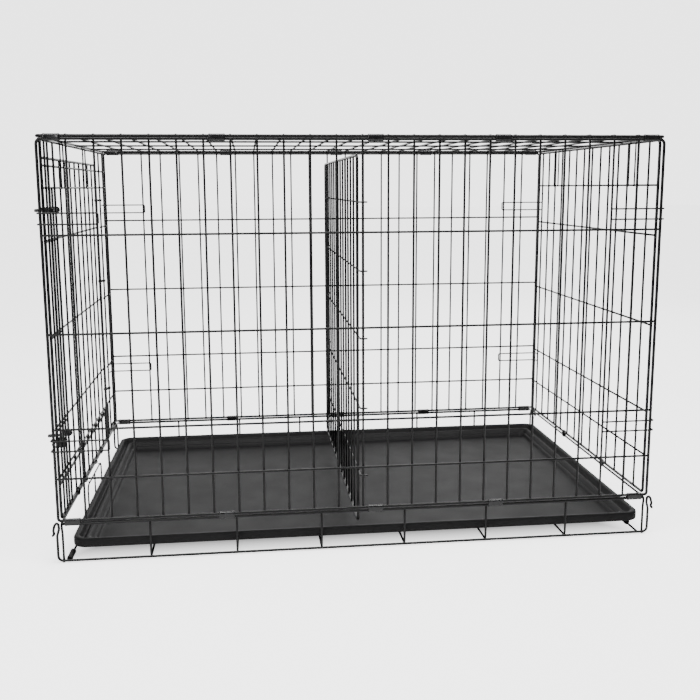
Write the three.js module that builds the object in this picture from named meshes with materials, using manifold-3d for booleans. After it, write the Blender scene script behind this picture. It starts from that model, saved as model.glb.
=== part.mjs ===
import * as THREE from 'three';
import { mergeVertices } from 'three/addons/utils/BufferGeometryUtils.js';
import Module from 'manifold-3d';

// Folding wire dog crate. Millimetres, +Z up, X along the length, front long side at -Y.
// Every wire panel is a flat lattice of square bars; the doorway is in the left (-X) end.

const wasm = await Module();
wasm.setup();

// ---------------------------------------------------------------- driving sizes
const PITCH = 50.8; // spacing of the upright mesh wires
const BAYS = 24; // bays along the length
const HALF_LENGTH = (PITCH * BAYS) / 2;
const PANEL_END_X = 612; // the frame wires at the ends, a little past the last even bay
const HALF_WIDTH = 381; // from the centre line to the long panels
const TOP_Z = 838.2; // height of the top panel
const PANEL_TOP_Z = 832.8; // the long panels' top rails, right under the top panel's rails
const WIRE = 4; // mesh wire
const RAIL = 6; // frame wire
const THICK = 4; // thickness of every lattice
const LOOSE = 0.35; // running gap around a wire

// Base and tray
const BASE_RAIL_Z = 81;
const FLOOR_WIRE_Z = 5;
const BASE_CORNER_X = 617;
const CURL = { outerX: 628, z: 62, height: 14 }; // flange wire ends, bent round at each corner
const END_RAIL_HALF = 2.4; // the base's end rails, which the hinge straps turn on
const UPRIGHTS = 8; // along each long side, from one end rail to the other
const FLOOR_END_X = 595; // outermost floor wires, which carry the feet
const FLOOR_WIRES_Y = [-290, -193, -97, 0, 97, 193, 290];
const FOOT_LENGTH = 38;
const FOOT_RADIUS = 6;
const FOOT_SETBACK = { left: 4, right: 50 }; // from the long panels' plane
const TRAY = { x0: -592, x1: 607, halfY: 369, bottom: 7.3, rim: 42, floor: 3, wall: 3, radius: 28 };
const TRAY_BORDER = { inset: 88, bottom: 12.4 }; // raised all round, to slide over the feet

// Long panels
const PANEL_BOTTOM_Z = 87.6;
const LONG_BARS_Z = [174, 274, 463, 653];
const HAIRPINS_Z = { upper: [674, 695], lower: [231, 252] };
const HAIRPIN_REACH = 112;
const HAIRPIN_WIRE = 3.4;
const HAIRPIN_TIP_X = 617.1;
const TOP_WIRES_Y = [-187, 0, 187];

// End panels
const END_X = 607;
const END_HALF = 373;
const END_BOTTOM_Z = 90;
const END_TOP_Z = 832;
const END_BARS_Z = [172, 267, 453, 640, 742];
const HOOK_TOP_Z = 835.2;
const HOOK_WIDTH = 30;
const RIGHT_HOOKS_Y = [-255, 215];
const LEFT_HOOKS_Y = [-200, 55];

// Doorway and door
const HEADER_Z = 784;
const DOORWAY = { y0: -275, y1: 268, z0: 172, z1: 742 };
const DOOR_X = 613;
const DOOR_PITCH = 54.4;
const DOOR_BAYS = 11;
const DOOR_LATCH_Y = -345.4;
const DOOR_HINGE_Y = DOOR_LATCH_Y + DOOR_PITCH * DOOR_BAYS;
const DOOR_BARS_Z = [150, 267, 453, 640, 799];
const DOOR_LOOPS_Z = [210, 500, 710];
const KEEPER_Y = -323;
const LATCH_UPRIGHT_Y = -349; // full height, next to the corner
const LATCH_BAR_Y = -300; // beside the doorway only

// Slide bolts on the door
const BOLT_X = 622.5;
const BOLT_RADIUS = 3;
const BOLTS_Z = { upper: 698, lower: 228 };
const BOLT_TIP_Y = -311;
const BOLT_TAIL_Y = -210;
const HANDLE_Y = -252;
const HANDLE_TIP_X = 652;

// Divider
const DIVIDER_X = -8;
const DIVIDER_HALF = 355.6;
const DIVIDER_BOTTOM_Z = 52;
const DIVIDER_TOP_Z = 803;
const DIVIDER_BARS_Z = [158, 299, 442, 577, 712];
const DIVIDER_HOOK_Y = 388;

// Clips that join the long panels to the top and to the base
const CLIP_BAYS = [0, 6, 12, 17, 23];
const CLIP_LENGTH = 31;
const CLIP_WALL = 1.2;

// Tray stop
const STOP = { x: 598, y0: -134, y1: 45, top: 74, bottom: 13, loopsY: [-112, 23] };

// ---------------------------------------------------------------- materials
const BLACK_WIRE = { color: 0x16171a, roughness: 0.35, metalness: 0.3 };
const CLIP_STEEL = { color: 0x232428, roughness: 0.3, metalness: 0.6 };
const TRAY_PLASTIC = { color: 0x2b2b2d, roughness: 0.5, metalness: 0 };
const FOOT_RUBBER = { color: 0x101010, roughness: 0.85, metalness: 0 };

const crate = new THREE.Group();
crate.name = 'wire_dog_crate';

// The door hardware stands out further than anything at the right end,
// so the whole crate is moved along X until its bounding box is centred.
const SHIFT_X = (HANDLE_TIP_X - CURL.outerX) / 2;

function add(name, solid, look) {
  const mesh = solid.getMesh();
  const geometry = new THREE.BufferGeometry();
  geometry.setAttribute('position', new THREE.BufferAttribute(mesh.vertProperties, 3));
  geometry.setIndex(new THREE.BufferAttribute(mesh.triVerts, 1));
  geometry.translate(SHIFT_X, 0, 0);
  geometry.computeVertexNormals();
  const node = new THREE.Mesh(geometry, new THREE.MeshStandardMaterial(look));
  node.name = name;
  crate.add(node);
}

// ---------------------------------------------------------------- solid helpers
function meshSolid(points, triangles) {
  const vertProperties = new Float32Array(points);
  const triVerts = new Uint32Array(triangles);
  return new wasm.Manifold(new wasm.Mesh({ numProp: 3, vertProperties, triVerts }));
}

function toSolid(geometry) {
  geometry.deleteAttribute('normal');
  geometry.deleteAttribute('uv');
  const welded = mergeVertices(geometry, 1e-4);
  return meshSolid(welded.attributes.position.array, welded.index.array);
}

function join(solids) {
  return solids.reduce((whole, solid) => whole.add(solid));
}

function cut(solid, tools) {
  return tools.reduce((whole, tool) => whole.subtract(tool), solid);
}

// The corners are written as given, so that boxes which share a plane share it exactly.
function box(x0, x1, y0, y1, z0, z1) {
  const corners = [];
  for (const z of [z0, z1]) {
    corners.push(x0, y0, z, x1, y0, z, x1, y1, z, x0, y1, z);
  }
  const faces = [[3, 2, 1, 0], [4, 5, 6, 7], [0, 1, 5, 4], [1, 2, 6, 5], [2, 3, 7, 6], [3, 0, 4, 7]];
  const triangles = faces.flatMap(([a, b, c, d]) => [a, b, c, a, c, d]);
  return meshSolid(corners, triangles);
}

// A box given by a rectangle in one plane, centred on `level` across it.
function plate(plane, level, depth, [u0, u1, v0, v1]) {
  const across = [level - depth / 2, level + depth / 2];
  if (plane === 'xz') {
    return box(u0, u1, ...across, v0, v1);
  }
  if (plane === 'yz') {
    return box(...across, u0, u1, v0, v1);
  }
  return box(u0, u1, v0, v1, ...across);
}

// Half the width of bar i: frame wire at both edges of the list, mesh wire between.
function halfBar(list, i) {
  const atEdge = i === 0 || i === list.length - 1;
  return (atEdge ? RAIL : WIRE) / 2;
}

// Point of a lattice: u and v in its plane, side -1 or 1 across its thickness.
function latticePoint(plane, level, u, v, side) {
  const across = (side * THICK) / 2;
  if (plane === 'xz') {
    return [u, level - across, v];
  }
  if (plane === 'yz') {
    return [level + across, u, v];
  }
  return [u, v, level + across];
}

// A flat lattice of bars centred on us and vs, built cell by cell.
// Cells alternate bar, gap, bar; a cell is solid where it lies on a bar either way,
// unless isOpen says that its middle lies in an opening.
function lattice(us, vs, plane, level, isOpen = () => false) {
  const cutsU = us.flatMap((u, i) => [u - halfBar(us, i), u + halfBar(us, i)]);
  const cutsV = vs.flatMap((v, i) => [v - halfBar(vs, i), v + halfBar(vs, i)]);
  const countU = cutsU.length - 1;
  const countV = cutsV.length - 1;
  const points = [];
  const numbers = new Map();
  const triangles = [];
  const solid = (i, j) => {
    const inside = i >= 0 && j >= 0 && i < countU && j < countV;
    if (!inside || (i % 2 === 1 && j % 2 === 1)) return false;
    return !isOpen((cutsU[i] + cutsU[i + 1]) / 2, (cutsV[j] + cutsV[j + 1]) / 2);
  };
  const point = (i, j, side) => {
    const key = `${i},${j},${side}`;
    if (!numbers.has(key)) {
      numbers.set(key, points.length / 3);
      points.push(...latticePoint(plane, level, cutsU[i], cutsV[j], side));
    }
    return numbers.get(key);
  };
  const quad = (a, b, c, d) => triangles.push(a, b, c, a, c, d);
  const wall = (i0, j0, i1, j1) => {
    quad(point(i0, j0, -1), point(i1, j1, -1), point(i1, j1, 1), point(i0, j0, 1));
  };
  for (let i = 0; i < countU; i += 1) {
    for (let j = 0; j < countV; j += 1) {
      if (solid(i, j)) {
        const ring = [[i, j], [i + 1, j], [i + 1, j + 1], [i, j + 1]];
        quad(...ring.map(([a, b]) => point(a, b, 1)));
        quad(...ring.reverse().map(([a, b]) => point(a, b, -1)));
        if (!solid(i, j - 1)) wall(i, j, i + 1, j);
        if (!solid(i + 1, j)) wall(i + 1, j, i + 1, j + 1);
        if (!solid(i, j + 1)) wall(i + 1, j + 1, i, j + 1);
        if (!solid(i - 1, j)) wall(i, j + 1, i, j);
      }
    }
  }
  return meshSolid(points, triangles);
}

// A rectangular strap with rectangular eyes through it.
function strap(outer, eyes, plane, level, depth) {
  const solid = plate(plane, level, depth, outer);
  return cut(solid, eyes.map((eye) => plate(plane, level, depth + 2, eye)));
}

function steps(start, pitch, count) {
  return Array.from({ length: count }, (_, i) => start + pitch * i);
}

// ---------------------------------------------------------------- base
const uprightsX = steps(-END_X, (2 * END_X) / (UPRIGHTS - 1), UPRIGHTS);

function baseGrid() {
  const flangeX = [-BASE_CORNER_X, ...uprightsX, BASE_CORNER_X];
  const floorX = [-FLOOR_END_X, ...uprightsX.slice(1, -1), FLOOR_END_X];
  const flangeZ = [FLOOR_WIRE_Z + 1, BASE_RAIL_Z];
  const parts = [
    lattice(floorX, [-HALF_WIDTH + 0.7, ...FLOOR_WIRES_Y, HALF_WIDTH - 0.7], 'xy', FLOOR_WIRE_Z),
    lattice(flangeX, flangeZ, 'xz', -HALF_WIDTH),
    lattice(flangeX, flangeZ, 'xz', HALF_WIDTH),
  ];
  for (const end of [-1, 1]) {
    const x = end * END_X;
    const endRail = [x - END_RAIL_HALF, x + END_RAIL_HALF, -HALF_WIDTH, HALF_WIDTH];
    parts.push(plate('xy', BASE_RAIL_Z, 2 * END_RAIL_HALF, endRail));
    const curlX = [end * (BASE_CORNER_X + 1), end * CURL.outerX].sort((a, b) => a - b);
    const curlZ = [CURL.z - CURL.height / 2, CURL.z + CURL.height / 2];
    for (const side of [-1, 1]) {
      parts.push(plate('xz', side * HALF_WIDTH, WIRE - 0.5, [...curlX, ...curlZ]));
    }
  }
  return join(parts);
}
add('base_grid', baseGrid(), BLACK_WIRE);

// A cylinder along Y whose flats face up and down.
function cylinderY(x, z, radius, y0, y1, segments) {
  const reach = radius / Math.cos(Math.PI / segments);
  const geometry = new THREE.CylinderGeometry(reach, reach, y1 - y0, segments);
  geometry.rotateY(Math.PI / segments);
  geometry.translate(x, (y0 + y1) / 2, z);
  return toSolid(geometry);
}

// Rubber sleeves on the outermost floor wires: the crate stands on their flats.
function footSleeve(x, side, setback) {
  const near = side * (HALF_WIDTH - setback);
  const far = near - side * FOOT_LENGTH;
  const ys = [Math.min(near, far), Math.max(near, far)];
  const halfX = RAIL / 2 + LOOSE;
  const halfZ = THICK / 2 + LOOSE;
  const bore = [x - halfX, x + halfX, FLOOR_WIRE_Z - halfZ, FLOOR_WIRE_Z + halfZ];
  const sleeve = cylinderY(x, FOOT_RADIUS, FOOT_RADIUS, ...ys, 12);
  return cut(sleeve, [plate('xz', (near + far) / 2, FOOT_LENGTH + 4, bore)]);
}
for (const [place, side] of [['front', -1], ['back', 1]]) {
  for (const [hand, end] of [['left', -1], ['right', 1]]) {
    add(`foot_${place}_${hand}`, footSleeve(end * FLOOR_END_X, side, FOOT_SETBACK[hand]), FOOT_RUBBER);
  }
}

// ---------------------------------------------------------------- long panels and top
const innerX = steps(-HALF_LENGTH + PITCH, PITCH, BAYS - 1);
const meshX = [-PANEL_END_X, ...innerX, PANEL_END_X];

for (const [place, side] of [['front', -1], ['back', 1]]) {
  const meshZ = [PANEL_BOTTOM_Z, ...LONG_BARS_Z, PANEL_TOP_Z];
  add(`${place}_panel`, lattice(meshX, meshZ, 'xz', side * HALF_WIDTH), BLACK_WIRE);
}

// A corner hairpin lies along a long panel's outer face, closed end inwards.
// Its two tips turn in past the corner and keep the end panel from swinging out.
function cornerHairpin(side, end, [low, high]) {
  const half = HAIRPIN_WIRE / 2;
  const y = side * (HALF_WIDTH + THICK / 2 + LOOSE + half);
  const tipX = end * HAIRPIN_TIP_X;
  const closedX = end * (HAIRPIN_TIP_X - HAIRPIN_REACH);
  const [x0, x1] = [Math.min(tipX, closedX), Math.max(tipX, closedX)];
  const ys = [y - half, y + half];
  const tipEnd = side * (END_HALF - 5);
  const tipY = [Math.min(y - half, tipEnd), Math.max(y + half, tipEnd)];
  const parts = [box(closedX - half, closedX + half, ...ys, low - half, high + half)];
  for (const z of [low, high]) {
    parts.push(box(x0 - half, x1 + half, ...ys, z - half, z + half));
    parts.push(box(tipX - half, tipX + half, ...tipY, z - half, z + half));
  }
  return join(parts);
}
for (const [place, side] of [['front', -1], ['back', 1]]) {
  for (const [hand, end] of [['left', -1], ['right', 1]]) {
    for (const [level, zs] of Object.entries(HAIRPINS_Z)) {
      const name = `hairpin_${place}_${hand}_${level}`;
      add(name, cornerHairpin(side, end, zs), BLACK_WIRE);
    }
  }
}

const topY = [-HALF_WIDTH, ...TOP_WIRES_Y, HALF_WIDTH];
add('top_panel', lattice(meshX, topY, 'xy', TOP_Z), BLACK_WIRE);

// ---------------------------------------------------------------- end panels
// Hook hairpins stand on the panel's inner face and close just under the top panel's rail.
function topHooks(end, hooksY) {
  const parts = [];
  const inner = end * (END_X - THICK / 2 + 0.4);
  const deep = end * (END_X - THICK / 2 - 3);
  const xs = [Math.min(inner, deep), Math.max(inner, deep)];
  const lip = end * (END_X + 4.5);
  const lipX = [Math.min(lip, deep), Math.max(lip, deep)];
  for (const y of hooksY) {
    for (const legY of [y - HOOK_WIDTH / 2, y + HOOK_WIDTH / 2]) {
      parts.push(box(...xs, legY - 1.7, legY + 1.7, 741, HOOK_TOP_Z));
    }
    const ys = [y - HOOK_WIDTH / 2 - 1.7, y + HOOK_WIDTH / 2 + 1.7];
    parts.push(box(...lipX, ...ys, HOOK_TOP_Z - 3, HOOK_TOP_Z));
  }
  return parts;
}

const endMeshY = steps(-6.5 * PITCH, PITCH, 14);
function rightEnd() {
  const us = [-END_HALF, ...endMeshY, END_HALF];
  const vs = [END_BOTTOM_Z, ...END_BARS_Z, END_TOP_Z];
  return join([lattice(us, vs, 'yz', END_X), ...topHooks(1, RIGHT_HOOKS_Y)]);
}
add('right_end_panel', rightEnd(), BLACK_WIRE);

// A lug with an eye that the bolt runs through.
function boltLug(y, z, xRoot) {
  const half = 8;
  const eye = BOLT_RADIUS + LOOSE + 0.15;
  const outer = [-BOLT_X - half, xRoot + 0.5, z - half, z + half];
  const hole = [-BOLT_X - eye, -BOLT_X + eye, z - eye, z + eye];
  return strap(outer, [hole], 'xz', y, 3.2);
}

function leftEnd() {
  const { y0, y1, z0, z1 } = DOORWAY;
  const skirtY = steps(y0 + PITCH, PITCH, 10);
  const latchY = [LATCH_UPRIGHT_Y, KEEPER_Y, LATCH_BAR_Y];
  const us = [-END_HALF, ...latchY, y0, ...skirtY, y1, 330, END_HALF];
  const vs = [END_BOTTOM_Z, ...END_BARS_Z, HEADER_Z, END_TOP_Z];
  const crossBars = [z1, HEADER_Z, END_TOP_Z];
  const isOpen = (y, z) => {
    const overDoorway = y > y0 + WIRE && y < y1 - WIRE && z > z0 + WIRE / 2;
    const overLatchBar = Math.abs(y - LATCH_BAR_Y) < WIRE / 2 && z > z1 + WIRE / 2;
    const isClear = !crossBars.some((bar) => Math.abs(z - bar) < WIRE / 2);
    return (overDoorway || overLatchBar) && isClear;
  };
  const parts = [lattice(us, vs, 'yz', -END_X, isOpen), ...topHooks(-1, LEFT_HOOKS_Y)];
  for (const z of [BOLTS_Z.upper, BOLTS_Z.lower]) {
    parts.push(boltLug(KEEPER_Y, z, -END_X));
  }
  return join(parts);
}
add('left_end_panel', leftEnd(), BLACK_WIRE);

// Straps that hang each end panel on the base's end rail.
function endLoop(end, y) {
  const x = end * END_X;
  const outer = [x - 5.4, x + 5.4, BASE_RAIL_Z - 5.4, END_BOTTOM_Z + 4.4];
  const railEye = [x - 3.9, x + 3.9, BASE_RAIL_Z - 3.9, BASE_RAIL_Z + 3.9];
  const hold = RAIL / 2 + LOOSE;
  const sideHold = THICK / 2 + LOOSE;
  const panelEye = [x - sideHold, x + sideHold, END_BOTTOM_Z - hold, END_BOTTOM_Z + hold];
  return strap(outer, [railEye, panelEye], 'xz', y, 9);
}
add('left_end_loop_front', endLoop(-1, -198.8), BLACK_WIRE);
add('left_end_loop_back', endLoop(-1, 106), BLACK_WIRE);
add('right_end_loop_front', endLoop(1, -152.4), BLACK_WIRE);
add('right_end_loop_back', endLoop(1, 101.6), BLACK_WIRE);

// ---------------------------------------------------------------- door
function door() {
  const us = steps(DOOR_LATCH_Y, DOOR_PITCH, DOOR_BAYS + 1);
  const parts = [lattice(us, DOOR_BARS_Z, 'yz', -DOOR_X)];
  for (const z of [BOLTS_Z.upper, BOLTS_Z.lower]) {
    parts.push(boltLug(us[1], z, -DOOR_X));
    parts.push(boltLug(us[2], z, -DOOR_X));
  }
  return join(parts);
}
add('door', door(), BLACK_WIRE);

// Each strap grips the jamb wire and lets the door's edge wire turn in its other eye.
function doorLoop(z) {
  const jamb = [-END_X - 2.35, -END_X + 2.35, DOORWAY.y1 - 2.35, DOORWAY.y1 + 2.35];
  const turn = [-DOOR_X - 3.9, -DOOR_X + 3.9, DOOR_HINGE_Y - 3.9, DOOR_HINGE_Y + 3.9];
  const outer = [-DOOR_X - 5.2, -END_X + 3.8, DOOR_HINGE_Y - 5.2, DOORWAY.y1 + 3.8];
  return strap(outer, [jamb, turn], 'xy', z, 6);
}
add('door_loop_low', doorLoop(DOOR_LOOPS_Z[0]), BLACK_WIRE);
add('door_loop_middle', doorLoop(DOOR_LOOPS_Z[1]), BLACK_WIRE);
add('door_loop_high', doorLoop(DOOR_LOOPS_Z[2]), BLACK_WIRE);

function boltRod(z) {
  return cylinderY(-BOLT_X, z, BOLT_RADIUS, BOLT_TIP_Y, BOLT_TAIL_Y, 12);
}

// The handle's hub turns on the rod; its arm stands straight out and ends in a knob.
function boltHandle(z) {
  const hub = cylinderY(-BOLT_X, z, 5.4, HANDLE_Y - 5, HANDLE_Y + 5, 12);
  const bore = cylinderY(-BOLT_X, z, BOLT_RADIUS + 0.3, HANDLE_Y - 8, HANDLE_Y + 8, 12);
  const arm = box(-HANDLE_TIP_X, -BOLT_X - 4.4, HANDLE_Y - 2.2, HANDLE_Y + 2.2, z - 2.2, z + 2.2);
  const knob = box(-HANDLE_TIP_X, -HANDLE_TIP_X + 9, HANDLE_Y - 5, HANDLE_Y + 5, z - 3.4, z + 3.4);
  return cut(join([hub, arm, knob]), [bore]);
}
for (const [place, z] of Object.entries(BOLTS_Z)) {
  add(`${place}_bolt_rod`, boltRod(z), BLACK_WIRE);
  add(`${place}_bolt_handle`, boltHandle(z), CLIP_STEEL);
}

// ---------------------------------------------------------------- divider
function divider() {
  const us = steps(-DIVIDER_HALF, PITCH, 15);
  const vs = [DIVIDER_BOTTOM_Z, ...DIVIDER_BARS_Z, DIVIDER_TOP_Z];
  const parts = [lattice(us, vs, 'yz', DIVIDER_X)];
  const half = 1.8;
  for (const z of DIVIDER_BARS_Z) {
    for (const side of [-1, 1]) {
      const far = side * (DIVIDER_HOOK_Y + half);
      const near = side * DIVIDER_HALF;
      const ys = [Math.min(far, near), Math.max(far, near)];
      const tip = side * (DIVIDER_HOOK_Y - half);
      const tipY = [Math.min(far, tip), Math.max(far, tip)];
      parts.push(box(DIVIDER_X - half, DIVIDER_X + half, ...ys, z - half, z + half));
      parts.push(box(DIVIDER_X - half, 9, ...tipY, z - half, z + half));
    }
  }
  return join(parts);
}
add('divider', divider(), BLACK_WIRE);

// ---------------------------------------------------------------- tray
function roundedRectangle(target, halfX, halfY, radius) {
  const quarter = Math.PI / 2;
  target.moveTo(halfX, -halfY + radius);
  target.absarc(halfX - radius, halfY - radius, radius, 0, quarter, false);
  target.absarc(-halfX + radius, halfY - radius, radius, quarter, 2 * quarter, false);
  target.absarc(-halfX + radius, -halfY + radius, radius, 2 * quarter, 3 * quarter, false);
  target.absarc(halfX - radius, -halfY + radius, radius, 3 * quarter, 4 * quarter, false);
  target.closePath();
  return target;
}

function slab(inset, z0, z1) {
  const { x0, x1, halfY, radius } = TRAY;
  const halfX = (x1 - x0) / 2;
  const corner = Math.max(radius - inset, 6);
  const shape = roundedRectangle(new THREE.Shape(), halfX - inset, halfY - inset, corner);
  const options = { depth: z1 - z0, bevelEnabled: false, curveSegments: 6 };
  const geometry = new THREE.ExtrudeGeometry(shape, options);
  geometry.translate((x0 + x1) / 2, 0, z0);
  return toSolid(geometry);
}

// A shallow pan inside a raised ledge with an upright rim. The floor's middle lies on
// the floor wires, and its border stands clear of the feet.
function tray() {
  const { bottom, rim, floor, wall } = TRAY;
  const step = 24;
  const foot = 41;
  const border = TRAY_BORDER;
  const pan = slab(border.inset, bottom, border.bottom + 1);
  const outside = join([pan, slab(foot, border.bottom, step + 1), slab(0, step, rim)]);
  const well = slab(border.inset + wall, bottom + floor, border.bottom + floor + 1);
  const lower = slab(foot + wall, border.bottom + floor, step + wall + 1);
  const upper = slab(wall, step + wall, rim + 5);
  return cut(outside, [well, lower, upper]);
}
add('tray', tray(), TRAY_PLASTIC);

// The tray stop hangs from the left base rail and swings up and outwards.
function trayStop() {
  const half = 1.8;
  const { x, y0, y1, top, bottom, loopsY } = STOP;
  const xs = [-x - half, -x + half];
  const parts = [box(...xs, y0 - half, y1 + half, top - half, top + half)];
  for (const y of [y0, (y0 + y1) / 2, y1]) {
    parts.push(box(...xs, y - half, y + half, bottom, top));
  }
  const eye = 3.5;
  const outer = 4.9;
  for (const y of loopsY) {
    const ring = cylinderY(-END_X, BASE_RAIL_Z, outer, y - 2, y + 2, 8);
    parts.push(cut(ring, [cylinderY(-END_X, BASE_RAIL_Z, eye, y - 3, y + 3, 8)]));
    parts.push(box(-END_X + eye + 0.4, -x + half, y - 1.8, y + 1.8, top - half, BASE_RAIL_Z));
  }
  return join(parts);
}
add('tray_stop', trayStop(), BLACK_WIRE);

// ---------------------------------------------------------------- clips
function clip(bay, inner, xMid) {
  const [y0, y1, z0, z1] = inner;
  const outer = [y0 - CLIP_WALL, y1 + CLIP_WALL, z0 - CLIP_WALL, z1 + CLIP_WALL];
  return strap(outer, [inner], 'yz', xMid, CLIP_LENGTH);
}

CLIP_BAYS.forEach((bay, index) => {
  const x = -HALF_LENGTH + PITCH * (bay + 0.5);
  const half = THICK / 2 + LOOSE;
  const rail = RAIL / 2 + LOOSE;
  const flat = [BASE_RAIL_Z - rail, PANEL_BOTTOM_Z + rail];
  const upperZ = [PANEL_TOP_Z - rail, TOP_Z + rail];
  for (const [place, side] of [['front', -1], ['back', 1]]) {
    const lowY = [side * HALF_WIDTH - half, side * HALF_WIDTH + half];
    const highY = [side * HALF_WIDTH - rail, side * HALF_WIDTH + rail];
    add(`clip_bottom_${place}_${index + 1}`, clip(bay, [...lowY, ...flat], x), CLIP_STEEL);
    add(`clip_top_${place}_${index + 1}`, clip(bay, [...highY, ...upperZ], x), CLIP_STEEL);
  }
});

export default crate;
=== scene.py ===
"""Folding wire dog crate: round wires, crimped clips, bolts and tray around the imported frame."""
import math

import bpy
from mathutils import Matrix, Vector
from mathutils.geometry import tessellate_polygon


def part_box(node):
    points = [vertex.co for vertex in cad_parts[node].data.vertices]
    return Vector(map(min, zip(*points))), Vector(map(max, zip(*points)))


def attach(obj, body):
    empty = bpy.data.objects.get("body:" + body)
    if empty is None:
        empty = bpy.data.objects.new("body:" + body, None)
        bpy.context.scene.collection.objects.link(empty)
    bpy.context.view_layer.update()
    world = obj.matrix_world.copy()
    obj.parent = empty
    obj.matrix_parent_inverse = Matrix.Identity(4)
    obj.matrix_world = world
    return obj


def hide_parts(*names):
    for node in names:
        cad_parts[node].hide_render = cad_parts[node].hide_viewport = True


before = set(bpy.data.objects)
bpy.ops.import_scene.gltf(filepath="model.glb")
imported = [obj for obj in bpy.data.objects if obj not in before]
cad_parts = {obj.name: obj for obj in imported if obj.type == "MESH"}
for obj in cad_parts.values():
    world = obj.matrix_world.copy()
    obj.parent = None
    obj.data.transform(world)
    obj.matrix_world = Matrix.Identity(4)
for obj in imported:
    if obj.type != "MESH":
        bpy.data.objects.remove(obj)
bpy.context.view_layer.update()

MM = 0.001

# ------------------------------------------------------------------ sizes, millimetres
# x runs along the crate from the door end (-x), y across it from the front (-y), z up.
# A name that ends in _X, _Y or _Z is a position on that axis, and one in _R a radius.
SIDES = (("front", -1), ("back", 1))
ENDS = (("left", -1), ("right", 1))

PITCH = 50.8
BAYS = 24
HALF_LENGTH = PITCH * BAYS / 2
HALF_WIDTH = 381.0
PANEL_END_X = 612.0
TOP_Z = 838.2
PANEL_TOP_Z = 832.8
PANEL_BOTTOM_Z = 87.6
LONG_BARS_Z = (174, 274, 463, 653)
TOP_WIRES_Y = (-187, 0, 187)

# Wires of a panel, and how far its bars lie out of the middle plane of its frame wire
MESH_R = 2.2
RAIL_R = 3.0
OVER = 1.7
UNDER = -1.6
TOP_UNDER = 2.1
DOOR_UNDER = -0.5
DIVIDER_UNDER = -1.4

# Weld flash: how far it stands proud of a frame or mesh wire, its plain size, its flatness
RAIL_FLASH = 0.15
MESH_FLASH = 0.35
PLAIN_FLASH_R = 2.5
FLASH_FLATNESS = 0.62

HAIRPINS_Z = {"upper": (674, 695), "lower": (231, 252)}
HAIRPIN_R = 1.7
HAIRPIN_REACH = 112.0
HAIRPIN_TIP_X = 617.1
HAIRPIN_OUT = 4.8
HAIRPIN_BACK = 4

BASE_RAIL_Z = 81.0
BASE_CORNER_X = 615.5
UPRIGHTS = 8
POST_X = 605.5
END_RAIL_R = 2.4
HOOP_INSET = 0.6
HOOP_FOOT_Z = 1.6
HOOP_BEND_Z = 60.0
CROSS_LOOP_R = 2.3
CROSS_LOOP_Z = 4.4
FLOOR_END_X = 595.0
FLOOR_WIRES_Y = (-290, -193, -97, 0, 97, 193, 290)
FLOOR_WIRE_R = 1.8
FLOOR_WIRE_Z = 2.0
FLOOR_WIRE_PAST = 7
FLANGE_OUT = 2.4
FLANGE_R = 2.6
FLANGE_Z = 4.8
FLANGE_BEND = 10.0
# The curled flange end: outward in x, height, outward in y, bend radius
FLANGE_CURL = (
    (0.0, 57.0, 0.0, 10.0), (-4.6, 72.0, 2.2, 8.0), (-4.2, 82.0, 3.0, 2.5),
    (-0.6, 85.6, 3.0, 2.5), (3.6, 80.0, 3.4, 2.5), (6.2, 70.0, 3.4, 2.5),
    (4.8, 63.0, 3.4, 2.5), (9.2, 57.6, 3.4, 2.5),
)

FOOT_LENGTH = 38.0
FOOT_SETBACK = {"left": 4.0, "right": 50.0}
FOOT_Z = 6.0
FOOT_BORE_Z = 5.2
FOOT_BORE_R = 2.2
FOOT_REST_Z = 0.02

END_X = 607.0
END_HALF = 373.0
END_BOTTOM_Z = 90.0
END_TOP_Z = 832.0
END_BARS_Z = (172, 267, 453, 640, 742)
END_CORNERS = (7.0, 10.0)
END_STRAPS_Y = {"left": (-198.8, 106.0), "right": (-152.4, 101.6)}
HOOK_R = 1.7
HOOK_FOOT_Z = 739
HOOK_TOP_Z = 833.4
HOOK_WIDTH = 30.0
HOOK_INSET = 4.2
HOOK_LIP = 3.0
RIGHT_HOOKS_Y = (-255, 215)
LEFT_HOOKS_Y = (-200, 55)

HEADER_Z = 784.0
DOORWAY = {"y0": -275.0, "y1": 268.0, "z0": 172.0, "z1": 742.0}
KEEPER_Y = -323.0
LATCH_UPRIGHT_Y = -349.0
LATCH_BAR_Y = -300.0
HINGE_UPRIGHT_Y = 330.0
LEFT_UPRIGHTS_OUT = -2.0  # behind the end's plane
LEFT_BARS_OUT = 0.7  # just in front of it, clear of the closed door
LEFT_FLASH_OUT = -0.8

DOOR_X = 613.0
DOOR_RAIL_R = 2.8
DOOR_PITCH = 54.4
DOOR_BAYS = 11
DOOR_LATCH_Y = -345.4
DOOR_HINGE_Y = DOOR_LATCH_Y + DOOR_PITCH * DOOR_BAYS
DOOR_BARS_Z = (150, 267, 453, 640, 799)
DOOR_STRAPS_Z = {"low": 210, "middle": 500, "high": 710}
STRAP_WALL = 1.5

BOLT_X = 622.5
BOLT_R = 3.0
BOLTS_Z = {"upper": 698.0, "lower": 228.0}
BOLT_TIP_Y = -311.0
BOLT_TAIL_Y = -210.0
HANDLE_Y = -252.0
LUG_R = 6.6
LUG_BORE_R = 3.55
LUG_THICKNESS = 2.8

DIVIDER_X = -8.0
DIVIDER_HALF = 355.6
DIVIDER_BOTTOM_Z = 52.0
DIVIDER_TOP_Z = 803.0
DIVIDER_BARS_Z = (158, 299, 442, 577, 712)
DIVIDER_BAR_R = 1.75
DIVIDER_BAR_OUT = 1.6
DIVIDER_HOOK_Y = 388.0
DIVIDER_HOOK_X = 8.5

CLIP_BAYS = (0, 6, 12, 17, 23)
CLIP_LENGTH = 31.0
CLIP_WALL = 0.95
CLIP_GAP = 0.25

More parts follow.
